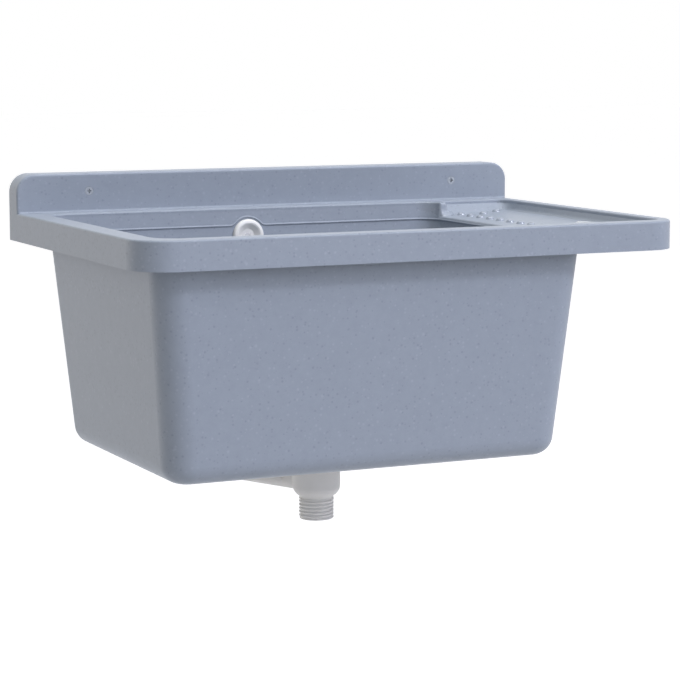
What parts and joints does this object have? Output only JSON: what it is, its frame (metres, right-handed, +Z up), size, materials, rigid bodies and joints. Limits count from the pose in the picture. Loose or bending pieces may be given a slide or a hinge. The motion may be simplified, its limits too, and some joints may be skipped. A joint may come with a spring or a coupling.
{
  "type": "wall-mounted sink",
  "caption": "Wall-mounted moulded sink with a low backsplash, a deep rounded bowl, a side drainer, an overflow with its pipe, a strainer waste and a lift-out plug.",
  "frame": {"origin": "midway between the two wall screws, on the plane of the wall", "axes": "+X to the right along the wall as seen from the front, +Y into the wall, +Z up"},
  "size_m": [0.6, 0.441, 0.3589],
  "materials": {
    "granite_look_polypropylene": "moulded, fine satin, speckled",
    "zinc_plated_steel": "zinc plated",
    "stainless_steel": "pressed and polished",
    "seal_rubber": "moulded",
    "plug_rubber": "moulded, matte",
    "grey_polypropylene": "moulded, satin",
    "brass": "turned",
    "white_abs": "moulded, glossy"
  },
  "bodies": {
    "sink": {"basin": "granite_look_polypropylene", "wall_screws": "zinc_plated_steel", "strainer": "stainless_steel", "strainer_seal": "seal_rubber", "drain_gasket": "seal_rubber", "drain_body": "grey_polypropylene", "drain_insert": "brass", "drain_screw": "stainless_steel", "branch_seal": "seal_rubber", "overflow_pipe": "grey_polypropylene", "overflow_gasket": "seal_rubber", "overflow_elbow": "grey_polypropylene", "elbow_seal": "seal_rubber", "elbow_nut": "grey_polypropylene", "overflow_ring": "white_abs", "overflow_screw": "stainless_steel"},
    "plug": {"plug_stopper": "plug_rubber", "plug_knob": "stainless_steel"}
  },
  "joints": [
    {"name": "plug_lift", "type": "slide", "parent": "sink", "child": "plug", "axis": [0, 0, 1], "range_m": [0, 0.25]}
  ]
}
